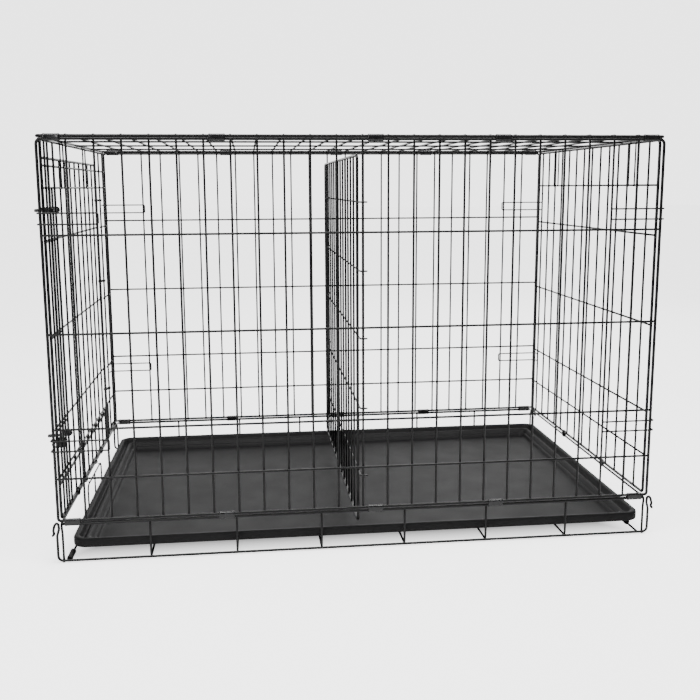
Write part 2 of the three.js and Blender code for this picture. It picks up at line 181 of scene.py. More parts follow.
TRAY = {"x0": -592.0, "x1": 607.0, "y": 369.0, "radius": 28.0}
STOP = {"x": 598.0, "y0": -134.0, "y1": 45.0, "top": 74.0, "bottom": 13.0, "loops": (-112, 23)}
STOP_R = 1.8
STOP_EYE_R = 4.2
STOP_EYE_WIRE_R = 1.6

panel_low, panel_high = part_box("front_panel")
SHIFT_X = (panel_low[0] + panel_high[0]) / 2


def row(x, y, z):
    """A point in model millimetres, as a vector in the row frame."""
    return Vector((x * MM + SHIFT_X, y * MM, z * MM))


# ------------------------------------------------------------------ mesh building
CAP_ANGLES = (0, 45, 80)  # degrees up the rounded end of a wire


class Build:
    """Collects vertices and faces in model millimetres and makes one object of them."""

    def __init__(self):
        self.points = []
        self.faces = []
        self.flat = []

    def grid(self, rings, close_run=False):
        """Quads between successive closed rings of equal length."""
        first = len(self.points)
        count = len(rings[0])
        for ring in rings:
            self.points.extend(ring)
        last = len(rings) if close_run else len(rings) - 1
        for r in range(last):
            a = first + r * count
            b = first + ((r + 1) % len(rings)) * count
            for k in range(count):
                n = (k + 1) % count
                self.faces.append((a + k, a + n, b + n, b + k))
                self.flat.append(False)
        return first

    def cap(self, ring_start, count, reverse=False):
        face = tuple(range(ring_start, ring_start + count))
        self.faces.append(face[::-1] if reverse else face)
        self.flat.append(False)

    def wire(self, path, radius, sides=10, closed=False):
        """A round wire along a path of vectors, with rounded ends where it isn't closed."""
        points = [Vector(p) for p in path]
        count = len(points)
        tangents = []
        for i in range(count):
            before = points[i - 1] if (closed or i > 0) else points[i]
            after = points[(i + 1) % count] if (closed or i < count - 1) else points[i]
            tangents.append((after - before).normalized())
        axis = Vector((0, 0, 1)) if abs(tangents[0].z) < 0.9 else Vector((1, 0, 0))
        side = tangents[0].cross(axis).normalized()
        stations = []

        def end_station(point, inward, tangent, angle):
            a = math.radians(angle)
            centre = point + inward * radius * (1 - math.sin(a))
            stations.append((centre, math.cos(a), tangent, side))

        if closed:
            stations.append((points[0], 1.0, tangents[0], side))
        else:
            for angle in reversed(CAP_ANGLES):
                end_station(points[0], tangents[0], tangents[0], angle)
        for i in range(1, count):
            turn = tangents[i - 1].rotation_difference(tangents[i])
            side = (turn @ side).normalized()
            if closed or i < count - 1:
                stations.append((points[i], 1.0, tangents[i], side))
        if not closed:
            for angle in CAP_ANGLES:
                end_station(points[-1], -tangents[-1], tangents[-1], angle)
        rings = []
        for centre, scale, tangent, across in stations:
            up = tangent.cross(across).normalized()
            ring = []
            for k in range(sides):
                a = 2 * math.pi * k / sides
                ring.append(centre + (across * math.cos(a) + up * math.sin(a)) * radius * scale)
            rings.append(ring)
        first = self.grid(rings, close_run=closed)
        if not closed:
            self.cap(first, sides, reverse=True)
            self.cap(first + (len(rings) - 1) * sides, sides)

    def blob(self, centre, size, sides=8):
        """A small weld nugget: an ellipsoid with flat poles."""
        cx, cy, cz = centre
        sx, sy, sz = size
        rings = []
        for level in (-0.92, -0.5, 0.0, 0.5, 0.92):
            r = math.sqrt(1 - level * level)
            rings.append([
                Vector((cx + sx * r * math.cos(2 * math.pi * k / sides),
                        cy + sy * r * math.sin(2 * math.pi * k / sides),
                        cz + sz * level))
                for k in range(sides)
            ])
        first = self.grid(rings)
        self.cap(first, sides, reverse=True)
        self.cap(first + (len(rings) - 1) * sides, sides)

    def plate(self, outline, holes, place, thickness, bevel=0.4):
        """A flat plate with round holes. place maps (u, v, w) to a point."""
        half = thickness / 2
        levels = [(-half, -bevel), (-half + bevel, 0.0), (half - bevel, 0.0), (half, -bevel)]
        loops = [(outline, 1)] + [(hole, -1) for hole in holes]
        starts = []
        for loop, sense in loops:
            rings = [[Vector(place(u, v, w)) for u, v in offset(loop, grow * sense)]
                     for w, grow in levels]
            count = len(loop)
            first = len(self.points)
            for ring in rings:
                self.points.extend(ring)
            starts.append(first)
            for r in range(len(rings) - 1):
                a = first + r * count
                b = a + count
                for k in range(count):
                    n = (k + 1) % count
                    quad = (a + k, a + n, b + n, b + k)
                    self.faces.append(quad if sense > 0 else quad[::-1])
                    self.flat.append(False)
        flats = [[Vector((u, v, 0)) for u, v in offset(loop, -bevel * sense)]
                 for loop, sense in loops]
        flat_points = [point for loop in flats for point in loop]
        for top in (False, True):
            corners = []
            for (loop, _), first in zip(loops, starts):
                base = first + ((len(levels) - 1) * len(loop) if top else 0)
                corners.extend(range(base, base + len(loop)))
            for triangle in tessellate_polygon(flats):
                a, b, c = (corners[i] for i in triangle)
                p, q, r = (flat_points[i] for i in triangle)
                turn = (q - p).cross(r - p).z
                self.faces.append((a, b, c) if (turn > 0) == top else (a, c, b))
                self.flat.append(True)

    def make(self, name, material, body, nodes):
        mesh = bpy.data.meshes.new(name)
        mesh.from_pydata([row(*p) for p in self.points], [], self.faces)
        mesh.validate()
        for polygon, flat in zip(mesh.polygons, self.flat):
            polygon.use_smooth = not flat
        mesh.materials.append(material)
        mesh.update()
        item = bpy.data.objects.new(name, mesh)
        bpy.context.scene.collection.objects.link(item)
        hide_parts(*nodes)
        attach(item, body)


def offset(loop, amount):
    """A closed counter-clockwise loop grown outwards by amount."""
    if abs(amount) < 1e-9:
        return list(loop)
    result = []
    count = len(loop)
    for i in range(count):
        u0, v0 = loop[i - 1]
        u1, v1 = loop[(i + 1) % count]
        du, dv = u1 - u0, v1 - v0
        length = math.hypot(du, dv) or 1.0
        result.append((loop[i][0] + dv / length * amount, loop[i][1] - du / length * amount))
    return result


def circle(cu, cv, radius, sides=16):
    return [(cu + radius * math.cos(2 * math.pi * k / sides),
             cv + radius * math.sin(2 * math.pi * k / sides)) for k in range(sides)]


def stadium(c0, c1, radius, steps=8):
    """Counter-clockwise outline around two points."""
    (u0, v0), (u1, v1) = c0, c1
    angle = math.atan2(v1 - v0, u1 - u0)
    loop = []
    for (cu, cv), start in (((u1, v1), angle - math.pi / 2), ((u0, v0), angle + math.pi / 2)):
        for k in range(steps + 1):
            a = start + math.pi * k / steps
            loop.append((cu + radius * math.cos(a), cv + radius * math.sin(a)))
    return loop


def fillet(points, radius, steps=5, closed=False):
    """The same path with each inner corner rounded, by one radius or one for each point."""
    radii = radius if isinstance(radius, tuple) else (radius,) * len(points)
    points = [Vector(p) for p in points]
    count = len(points)
    path = []
    for i, point in enumerate(points):
        if not closed and i in (0, count - 1):
            path.append(point)
            continue
        to_before = points[i - 1] - point
        to_after = points[(i + 1) % count] - point
        a, b = to_before.normalized(), to_after.normalized()
        angle = a.angle(b)
        if angle > math.radians(178):
            path.append(point)
            continue
        reach = min(radii[i] / math.tan(angle / 2), to_before.length * 0.49,
                    to_after.length * 0.49)
        bend = reach * math.tan(angle / 2)
        middle = (a + b).normalized()
        centre = point + middle * (bend / math.sin(angle / 2))
        start, end = point + a * reach, point + b * reach
        v0, v1 = start - centre, end - centre
        sweep = v0.angle(v1)
        axis = v0.cross(v1).normalized()
        for k in range(steps + 1):
            path.append(centre + Matrix.Rotation(sweep * k / steps, 3, axis) @ v0)
    return path


def steps_from(start, pitch, count):
    return [start + pitch * i for i in range(count)]


# ------------------------------------------------------------------ materials
def principled(name):
    material = bpy.data.materials.new(name)
    material.use_nodes = True
    nodes = material.node_tree.nodes
    links = material.node_tree.links
    return material, nodes, links, nodes["Principled BSDF"]


def noise(nodes, links, scale, detail=3.0, roughness=0.5):
    """The value of a noise texture in object coordinates."""
    coords = nodes.new("ShaderNodeTexCoord")
    tex = nodes.new("ShaderNodeTexNoise")
    tex.inputs["Scale"].default_value = scale
    tex.inputs["Detail"].default_value = detail
    tex.inputs["Roughness"].default_value = roughness
    links.new(coords.outputs["Object"], tex.inputs["Vector"])
    return tex.outputs["Fac"]


def mottle(nodes, links, source, shader, low, high):
    """Base colour between two tones."""
    node = nodes.new("ShaderNodeValToRGB")
    node.color_ramp.elements[0].position = 0.3
    node.color_ramp.elements[1].position = 0.7
    node.color_ramp.elements[0].color = (*low, 1)
    node.color_ramp.elements[1].color = (*high, 1)
    links.new(source, node.inputs["Fac"])
    links.new(node.outputs["Color"], shader.inputs["Base Color"])


def roughen(nodes, links, source, shader, low, high):
    """Roughness between two values."""
    node = nodes.new("ShaderNodeMapRange")
    node.inputs["To Min"].default_value = low
    node.inputs["To Max"].default_value = high
    links.new(source, node.inputs["Value"])
    links.new(node.outputs["Result"], shader.inputs["Roughness"])


def bump(nodes, links, source, shader, distance, strength, under=None):
    """Fine relief, laid over another bump's normal where `under` is given."""
    node = nodes.new("ShaderNodeBump")
    node.inputs["Distance"].default_value = distance
    node.inputs["Strength"].default_value = strength
    links.new(source, node.inputs["Height"])
    if under is not None:
        links.new(under.outputs["Normal"], node.inputs["Normal"])
    links.new(node.outputs["Normal"], shader.inputs["Normal"])
    return node


def coated_wire():
    """Semi-gloss black powder coat: fine orange peel and slightly uneven gloss."""
    material, nodes, links, shader = principled("coated_wire")
    mottle(nodes, links, noise(nodes, links, 30.0), shader, (0.0015, 0.0015, 0.0017),
           (0.004, 0.004, 0.0045))
    roughen(nodes, links, noise(nodes, links, 260.0), shader, 0.24, 0.38)
    bump(nodes, links, noise(nodes, links, 1500.0, 2.0), shader, 0.0001, 0.5)
    shader.inputs["Specular IOR Level"].default_value = 0.38
    return material


def clip_steel():
    """Crimped sheet steel under a thin glossy black coat, brighter where it rubs."""
    material, nodes, links, shader = principled("clip_steel")
    tone = noise(nodes, links, 120.0, 4.0)
    mottle(nodes, links, tone, shader, (0.003, 0.003, 0.0035), (0.010, 0.010, 0.011))
    roughen(nodes, links, tone, shader, 0.18, 0.34)
    bump(nodes, links, noise(nodes, links, 900.0, 2.0), shader, 0.0001, 0.5)
    shader.inputs["Specular IOR Level"].default_value = 0.5
    shader.inputs["Coat Weight"].default_value = 0.25
    shader.inputs["Coat Roughness"].default_value = 0.1
    return material


def tray_plastic():
    """Black thermoformed sheet: pebbled grain over soft waves, and uneven tone and gloss."""
    material, nodes, links, shader = principled("tray_plastic")
    mottle(nodes, links, noise(nodes, links, 3.0, 5.0, 0.6), shader, (0.0135, 0.0133, 0.0137),
           (0.0195, 0.0192, 0.0196))
    roughen(nodes, links, noise(nodes, links, 14.0, 4.0), shader, 0.5, 0.66)
    coords = nodes.new("ShaderNodeTexCoord")
    pebble = nodes.new("ShaderNodeTexVoronoi")
    pebble.inputs["Scale"].default_value = 620.0
    links.new(coords.outputs["Object"], pebble.inputs["Vector"])
    grain = bump(nodes, links, pebble.outputs["Distance"], shader, 0.0002, 0.35)
    bump(nodes, links, noise(nodes, links, 7.0, 2.0), shader, 0.004, 0.25, under=grain)
    shader.inputs["Specular IOR Level"].default_value = 0.17
    return material


def foot_rubber():
    """Matt black rubber with a fine mould texture and dusty patches."""
    material, nodes, links, shader = principled("foot_rubber")
    tone = noise(nodes, links, 90.0, 4.0)
    mottle(nodes, links, tone, shader, (0.009, 0.009, 0.009), (0.022, 0.022, 0.021))
    roughen(nodes, links, tone, shader, 0.6, 0.85)
    bump(nodes, links, noise(nodes, links, 800.0, 2.0), shader, 0.0002, 0.6)
    return material


WIRE = coated_wire()
STEEL = clip_steel()
PLASTIC = tray_plastic()
RUBBER = foot_rubber()


# ------------------------------------------------------------------ wire panels
def in_xz(y, outward):
    return lambda u, v, w: (u, y + w * outward, v)


def in_yz(x, outward):
    return lambda u, v, w: (x + w * outward, u, v)


def in_xy(z, outward):
    return lambda u, v, w: (u, v, z + w * outward)


def frame_wire(build, place, box, corners, radius):
    """Closed wire round a panel; corners are the bend radii at its low and high edge."""
    u0, u1, v0, v1 = box
    low, high = corners
    path = [place(u, v, 0.0) for u, v in ((u0, v0), (u1, v0), (u1, v1), (u0, v1))]
    build.wire(fillet(path, (low, low, high, high), closed=True), radius, sides=12, closed=True)


def nugget(build, place, u, v, w, size):
    """The flattened flash that resistance welding squeezes out at a crossing."""
    centre = Vector(place(u, v, w))
    out = Vector(place(u, v, w + 1)) - centre
    full = [size * FLASH_FLATNESS if abs(part) > 0.5 else size for part in out]
    build.blob(centre, full)


def panel(build, place, us, vs, box, over=OVER, under=UNDER, corners=(5.0, 10.0), rail=RAIL_R,
          tuck=1.2):
    """A welded panel: frame wire, bars along v at offset `under`, bars along u at `over`.

    place(u, v, w) gives a point; w is the offset out of the panel's plane. The bars end
    `tuck` inside the middle of the frame wire, or past it where tuck is negative.
    """
    u0, u1, v0, v1 = box
    frame_wire(build, place, box, corners, rail)
    for u in us:
        build.wire([place(u, v0 + tuck, under), place(u, v1 - tuck, under)], MESH_R)
        for v in (v0, v1):
            nugget(build, place, u, v, under / 2, rail + RAIL_FLASH)
    for v in vs:
        build.wire([place(u0 - tuck, v, over), place(u1 + tuck, v, over)], MESH_R)
        for u in (*us, u0, u1):
            nugget(build, place, u, v, (over + under) / 2, MESH_R + MESH_FLASH)


mesh_x = steps_from(-HALF_LENGTH + PITCH, PITCH, BAYS - 1)
for side_name, side in SIDES:
    build = Build()
    panel(build, in_xz(side * HALF_WIDTH, side), mesh_x, LONG_BARS_Z,
          (-PANEL_END_X, PANEL_END_X, PANEL_BOTTOM_Z, PANEL_TOP_Z))
    build.make(f"{side_name}_wires", WIRE, "frame", [f"{side_name}_panel"])

build = Build()
panel(build, in_xy(TOP_Z, 1), mesh_x, TOP_WIRES_Y,
      (-PANEL_END_X, PANEL_END_X, -HALF_WIDTH, HALF_WIDTH), over=-OVER, under=TOP_UNDER,
      corners=(10.0, 10.0), tuck=-1.5)
build.make("top_wires", WIRE, "frame", ["top_panel"])


def hairpin(name, side, end, low, high):
    """A long loop on a long panel's outer face, with its two tips bent in behind the corner."""
    y = side * (HALF_WIDTH + HAIRPIN_OUT)
    tip_y = side * (END_HALF - HAIRPIN_BACK)
    tip_x = end * HAIRPIN_TIP_X
    closed_x = end * (HAIRPIN_TIP_X - HAIRPIN_REACH)
    path = [(tip_x, tip_y, low), (tip_x, y, low), (closed_x, y, low),
            (closed_x, y, high), (tip_x, y, high), (tip_x, tip_y, high)]
    build = Build()
    build.wire(fillet(path, 3.5), HAIRPIN_R)
    build.make(f"{name}_wire", WIRE, "frame", [name])


for side_name, side in SIDES:
    for end_name, end in ENDS:
        for level, (low, high) in HAIRPINS_Z.items():
            hairpin(f"hairpin_{side_name}_{end_name}_{level}", side, end, low, high)


# ------------------------------------------------------------------ end panels
def top_hooks(build, end, hooks_y):
    inner = end * (END_X - HOOK_INSET)
    lip = end * (END_X + HOOK_LIP)
    for y in hooks_y:
        y0, y1 = y - HOOK_WIDTH / 2, y + HOOK_WIDTH / 2
        path = [(inner, y0, HOOK_FOOT_Z), (inner, y0, HOOK_TOP_Z), (lip, y0, HOOK_TOP_Z),
                (lip, y1, HOOK_TOP_Z), (inner, y1, HOOK_TOP_Z), (inner, y1, HOOK_FOOT_Z)]
        build.wire(fillet(path, 4.0), HOOK_R)


END_BOX = (-END_HALF, END_HALF, END_BOTTOM_Z, END_TOP_Z)

build = Build()
panel(build, in_yz(END_X, 1), steps_from(-6.5 * PITCH, PITCH, 14), END_BARS_Z, END_BOX,
      corners=END_CORNERS)
top_hooks(build, 1, RIGHT_HOOKS_Y)
build.make("right_end_wires", WIRE, "right_end", ["right_end_panel"])


def lug(build, y, z, root_x):
    """A stamped eye that a bolt slides through, welded to the wire at root_x."""
    outline = stadium((-BOLT_X, z), (root_x + 2.0, z), LUG_R)
    build.plate(outline, [circle(-BOLT_X, z, LUG_BORE_R)], lambda u, v, w: (u, y - w, v),
                LUG_THICKNESS)


def left_end():
    """The door end: full uprights beside the doorway, short ones under it, and crossbars."""
    build = Build()
    y0, y1, z0, z1 = (DOORWAY[k] for k in ("y0", "y1", "z0", "z1"))
    place = in_yz(-END_X, -1)
    frame_wire(build, place, END_BOX, END_CORNERS, RAIL_R)

    def upright(y, top, welds):
        build.wire([place(y, END_BOTTOM_Z + 1, LEFT_UPRIGHTS_OUT),
                    place(y, top, LEFT_UPRIGHTS_OUT)], MESH_R)
        for z, size in welds:
            nugget(build, place, y, z, LEFT_FLASH_OUT, size)

    def crossbar(a, b, z, crossings):
        build.wire([place(a, z, LEFT_BARS_OUT), place(b, z, LEFT_BARS_OUT)], MESH_R)
        for y in crossings:
            nugget(build, place, y, z, LEFT_FLASH_OUT, PLAIN_FLASH_R)

    frame_flash = RAIL_R + RAIL_FLASH
    full_height = (LATCH_UPRIGHT_Y, KEEPER_Y, y0, y1, HINGE_UPRIGHT_Y)
    for y in full_height:
        upright(y, END_TOP_Z - 1, ((END_BOTTOM_Z, frame_flash), (END_TOP_Z, frame_flash)))
    for y in steps_from(y0 + PITCH, PITCH, 10):
        upright(y, z0 + 2, ((END_BOTTOM_Z, frame_flash), (z0, PLAIN_FLASH_R)))
    upright(LATCH_BAR_Y, z1 + 2, ((END_BOTTOM_Z, frame_flash),))
    for z in (z0, z1, HEADER_Z):
        crossbar(-END_HALF - 1, END_HALF + 1, z, (*full_height, -END_HALF, END_HALF))
    latch_side = (-END_HALF, LATCH_UPRIGHT_Y, KEEPER_Y, LATCH_BAR_Y, y0)
    for z in END_BARS_Z[1:-1]:
        crossbar(-END_HALF - 1, y0 + 2, z, latch_side)
        crossbar(y1 - 2, END_HALF + 1, z, (y1, HINGE_UPRIGHT_Y, END_HALF))
    top_hooks(build, -1, LEFT_HOOKS_Y)
    for z in BOLTS_Z.values():
        lug(build, KEEPER_Y, z, -END_X)
    build.make("left_end_wires", WIRE, "left_end", ["left_end_panel"])


left_end()


def strap(name, c0, c1, r0, r1, place, width, body):
    """A hinge strap with a round eye at each end."""
    build = Build()
    outline = stadium(c0, c1, max(r0, r1) + STRAP_WALL)
    build.plate(outline, [circle(*c0, r0), circle(*c1, r1)], place, width, bevel=0.5)
    build.make(f"{name}_strap", WIRE, body, [name])


for end_name, end in ENDS:
    for side_name, y in zip(("front", "back"), END_STRAPS_Y[end_name]):
        x = end * END_X
        strap(f"{end_name}_end_loop_{side_name}", (x, BASE_RAIL_Z), (x, END_BOTTOM_Z), 2.6, 3.2,
              lambda u, v, w, y=y: (u, y - w, v), 7.0, f"{end_name}_end")

for level, z in DOOR_STRAPS_Z.items():
    strap(f"door_loop_{level}", (-DOOR_X, DOOR_HINGE_Y),
          (-END_X - LEFT_UPRIGHTS_OUT, DOORWAY["y1"]), 3.0, 2.3,
          lambda u, v, w, z=z: (u, v, z + w), 5.6, "left_end")


# ------------------------------------------------------------------ door and bolts
def door():
    build = Build()
    first_y, second_y = (DOOR_LATCH_Y + DOOR_PITCH * k for k in (1, 2))
    us = steps_from(first_y, DOOR_PITCH, DOOR_BAYS - 1)
    panel(build, in_yz(-DOOR_X, -1), us, DOOR_BARS_Z[1:-1],
          (DOOR_LATCH_Y, DOOR_HINGE_Y, DOOR_BARS_Z[0], DOOR_BARS_Z[-1]), under=DOOR_UNDER,
          rail=DOOR_RAIL_R)
    for z in BOLTS_Z.values():
        for y in (first_y, second_y):
            lug(build, y, z, -DOOR_X)
    build.make("door_wires", WIRE, "door", ["door"])


door()


def squared(part):
    """Pushes a circle's sine or cosine towards a rounded square's."""
    return math.copysign(abs(part) ** 0.6, part)


def handle(name, z, body):
    """Hub on the rod with a squared arm that droops a little to its blunt tip."""
    build = Build()
    hub_sides, arm_sides = 20, 16
    hub = [(-5.0, 3.35), (-5.0, 4.7), (-4.3, 5.3), (4.3, 5.3), (5.0, 4.7), (5.0, 3.35)]
    rings = []
    for dy, r in hub:
        ring = []
        for k in range(hub_sides):
            a = 2 * math.pi * k / hub_sides
            ring.append(Vector((-BOLT_X + r * math.cos(a), HANDLE_Y + dy, z - r * math.sin(a))))
        rings.append(ring)
    build.grid(rings, close_run=True)
    # The arm: distance from the rod, half width, half height and droop
    arm = [(4.0, 2.4, 2.4, 0.0), (7.0, 2.6, 2.7, 0.0), (11.0, 3.2, 3.2, 0.1),
           (20.0, 3.5, 3.4, 0.5), (26.5, 3.6, 3.4, 0.9), (28.6, 3.2, 3.0, 1.0),
           (29.3, 2.4, 2.3, 1.05), (29.5, 1.4, 1.3, 1.1)]
    rings = []
    for reach, half_y, half_z, droop in arm:
        ring = []
        for k in range(arm_sides):
            a = 2 * math.pi * k / arm_sides
            ring.append(Vector((-BOLT_X - reach, HANDLE_Y + half_y * squared(math.cos(a)),
                                z - droop + half_z * squared(math.sin(a)))))
        rings.append(ring)
    first = build.grid(rings)
    build.cap(first, arm_sides, reverse=True)
    build.cap(first + (len(rings) - 1) * arm_sides, arm_sides)
    build.make(f"{name}_pressing", STEEL, body, [name])


for level, z in BOLTS_Z.items():
    build = Build()
    build.wire([(-BOLT_X, BOLT_TIP_Y, z), (-BOLT_X, BOLT_TAIL_Y, z)], BOLT_R, sides=14)
    build.make(f"{level}_bolt_wire", WIRE, f"{level}_bolt", [f"{level}_bolt_rod"])
    handle(f"{level}_bolt_handle", z, f"{level}_handle")


# ------------------------------------------------------------------ divider
def divider():
    """An upright mesh whose crossbars end in hooks that lie round the long panels' wires."""
    build = Build()
    place = in_yz(DIVIDER_X, 1)
    us = steps_from(-DIVIDER_HALF + PITCH, PITCH, 13)
    panel(build, place, us, (), (-DIVIDER_HALF, DIVIDER_HALF, DIVIDER_BOTTOM_Z, DIVIDER_TOP_Z),
          under=DIVIDER_UNDER)
    x = DIVIDER_X + DIVIDER_BAR_OUT
    for z in DIVIDER_BARS_Z:
        path = [(DIVIDER_HOOK_X, -DIVIDER_HOOK_Y, z), (x, -DIVIDER_HOOK_Y, z),
                (x, DIVIDER_HOOK_Y, z), (DIVIDER_HOOK_X, DIVIDER_HOOK_Y, z)]
        build.wire(fillet(path, 4.0), DIVIDER_BAR_R)
        for y in (*us, -DIVIDER_HALF, DIVIDER_HALF):
            nugget(build, place, y, z, 0.0, PLAIN_FLASH_R)
    build.make("divider_wires", WIRE, "divider", ["divider"])


divider()


# ------------------------------------------------------------------ base
def flange(build, side):
    """Low outer wire of a long side; each end turns up, over the top and down outside itself."""
    y = HALF_WIDTH + FLANGE_OUT
    half = [(BASE_CORNER_X, y, FLANGE_Z, FLANGE_BEND)]
    for dx, z, dy, bend in FLANGE_CURL:
        half.append((BASE_CORNER_X + dx, y + dy, z, bend))
    whole = [(-x, *rest) for x, *rest in reversed(half)] + half
    path = [(x, side * y, z) for x, y, z, _ in whole]
    build.wire(fillet(path, tuple(bend for *_, bend in whole)), FLANGE_R, sides=12)


def end_hoop(build, end):
    """The base's end rail, bent down at both sides into posts, and the floor wire beside it."""
    post_x, rail_x, floor_x = end * POST_X, end * END_X, end * FLOOR_END_X
    y = HALF_WIDTH - HOOP_INSET
    half = [(post_x, y, HOOP_FOOT_Z), (post_x, y, HOOP_BEND_Z), (rail_x, y, BASE_RAIL_Z)]
    path = [(x, -y, z) for x, y, z in half] + half[::-1]
    build.wire(fillet(path, 7.0), END_RAIL_R, sides=12)
    y = HALF_WIDTH + 0.4
    build.wire([(floor_x, -y, CROSS_LOOP_Z), (floor_x, y, CROSS_LOOP_Z)], END_RAIL_R, sides=12)
    for side in (-1, 1):
        build.blob((post_x, side * (HALF_WIDTH + 0.8), 3.1), (3.4, 3.6, 3.0))


def cross_loop(build, x):
    """A wire across under the tray that turns up at both sides to the base rails."""
    y, top = HALF_WIDTH, BASE_RAIL_Z - 1
    path = [(x, -y, top), (x, -y, CROSS_LOOP_Z), (x, y, CROSS_LOOP_Z), (x, y, top)]
    build.wire(fillet(path, 8.0), CROSS_LOOP_R)
    for side in (-1, 1):
        build.blob((x, side * y, BASE_RAIL_Z - 2.5), (2.9, 2.6, 2.2))
        build.blob((x, side * (y + 1.2), FLANGE_Z), (3.3, 3.3, 3.0))


def base():
    build = Build()
    for side in (-1, 1):
        y = side * HALF_WIDTH
        build.wire([(-POST_X, y, BASE_RAIL_Z), (POST_X, y, BASE_RAIL_Z)], RAIL_R, sides=12)
    for end in (-1, 1):
        end_hoop(build, end)
    pitch = 2 * END_X / (UPRIGHTS - 1)
    inner = steps_from(-END_X + pitch, pitch, UPRIGHTS - 2)
    for x in inner:
        cross_loop(build, x)
    wire_end_x = FLOOR_END_X + FLOOR_WIRE_PAST
    for y in FLOOR_WIRES_Y:
        build.wire([(-wire_end_x, y, FLOOR_WIRE_Z), (wire_end_x, y, FLOOR_WIRE_Z)], FLOOR_WIRE_R)
        for x in (-FLOOR_END_X, *inner, FLOOR_END_X):
            build.blob((x, y, 3.2), (2.4, 2.4, 1.4))
    for side in (-1, 1):
        flange(build, side)
    build.make("base_wires", WIRE, "frame", ["base_grid"])


base()


def foot(name, x, near, far):
    """A thick rubber sleeve with rounded mouths, flattened where the crate stands on it."""
    build = Build()
    y0, y1 = min(near, far), max(near, far)
    profile = [(y0 + 0.8, FOOT_BORE_R), (y0, 3.4), (y0, 5.0), (y0 + 1.0, 5.95), (y0 + 6, 6.0),
               (y0 + 8, 5.6), (y1 - 8, 5.6), (y1 - 6, 6.0), (y1 - 1.0, 5.95), (y1, 5.0),
               (y1, 3.4), (y1 - 0.8, FOOT_BORE_R)]
    sides = 24
    rings = []
    for y, r in profile:
        middle_z = FOOT_BORE_Z if r == FOOT_BORE_R else FOOT_Z
        ring = []
        for k in range(sides):
            a = 2 * math.pi * k / sides
            z = max(middle_z + r * math.cos(a), FOOT_REST_Z)
            ring.append(Vector((x + r * math.sin(a), y, z)))
        rings.append(ring)
    build.grid(rings, close_run=True)
    build.make(f"{name}_sleeve", RUBBER, "frame", [name])


for side_name, side in SIDES:
    for end_name, end in ENDS:
        near = side * (HALF_WIDTH - FOOT_SETBACK[end_name])
        foot(f"foot_{side_name}_{end_name}", end * FLOOR_END_X, near, near - side * FOOT_LENGTH)


# ------------------------------------------------------------------ clips
def pinched(loop, c0, c1, amount):
    """Pulls the straight flanks of a stadium in, where the crimp closes between the rails."""
    if amount == 0:
        return loop
    middle = ((c0[0] + c1[0]) / 2, (c0[1] + c1[1]) / 2)
    span = math.hypot(c1[0] - c0[0], c1[1] - c0[1])
    axis = ((c1[0] - c0[0]) / span, (c1[1] - c0[1]) / span)
    result = []
    for u, v in loop:
        du, dv = u - middle[0], v - middle[1]
        along = du * axis[0] + dv * axis[1]
        across = -du * axis[1] + dv * axis[0]
        weight = max(0.0, 1 - (abs(along) / (span * 0.9)) ** 2)
        across -= math.copysign(amount * weight, across)
        result.append((middle[0] + along * axis[0] - across * axis[1],
                       middle[1] + along * axis[1] + across * axis[0]))
    return result


def clip(name, x, c0, c1):
    """A strip crimped round two rails: a stadium tube, flared and dimpled."""
    build = Build()
    half = CLIP_LENGTH / 2
    inner_r = RAIL_R + CLIP_GAP
    # Position along the rails, wall thicknesses outwards, and how far the flanks are pinched
    profile = [(-half, 0.55, 0.0), (-half + 0.5, 1.25, 0.0), (-half + 3.0, 1.3, 0.0),
               (-half + 4.6, 0.95, 0.0), (-half + 8.0, 0.95, 0.25), (0.0, 0.95, 0.45),
               (half - 8.0, 0.95, 0.25), (half - 4.6, 0.95, 0.0), (half - 3.0, 1.3, 0.0),
               (half - 0.5, 1.25, 0.0), (half, 0.55, 0.0)]
    rings = []
    for dx, out, pinch in profile:
        loop = pinched(stadium(c0, c1, inner_r + out * CLIP_WALL), c0, c1, pinch)
        rings.append([Vector((x + dx, u, v)) for u, v in loop])
    for dx in (half, -half):
        rings.append([Vector((x + dx, u, v)) for u, v in stadium(c0, c1, inner_r)])
    build.grid(rings, close_run=True)
    build.make(f"{name}_sheet", STEEL, "frame", [name])


for number, bay in enumerate(CLIP_BAYS, start=1):
    x = -HALF_LENGTH + PITCH * (bay + 0.5)
    for side_name, side in SIDES:
        y = side * HALF_WIDTH
        clip(f"clip_bottom_{side_name}_{number}", x, (y, BASE_RAIL_Z), (y, PANEL_BOTTOM_Z))
        clip(f"clip_top_{side_name}_{number}", x, (y, PANEL_TOP_Z), (y, TOP_Z))


# ------------------------------------------------------------------ tray
def rounded_rectangle(half_x, half_y, radius, steps=10):
    loop = []
    for cx, cy, start in ((1, 1, 0), (-1, 1, 90), (-1, -1, 180), (1, -1, 270)):
        for k in range(steps + 1):
            a = math.radians(start + 90 * k / steps)
            loop.append((cx * (half_x - radius) + radius * math.cos(a),
                         cy * (half_y - radius) + radius * math.sin(a)))
    return loop


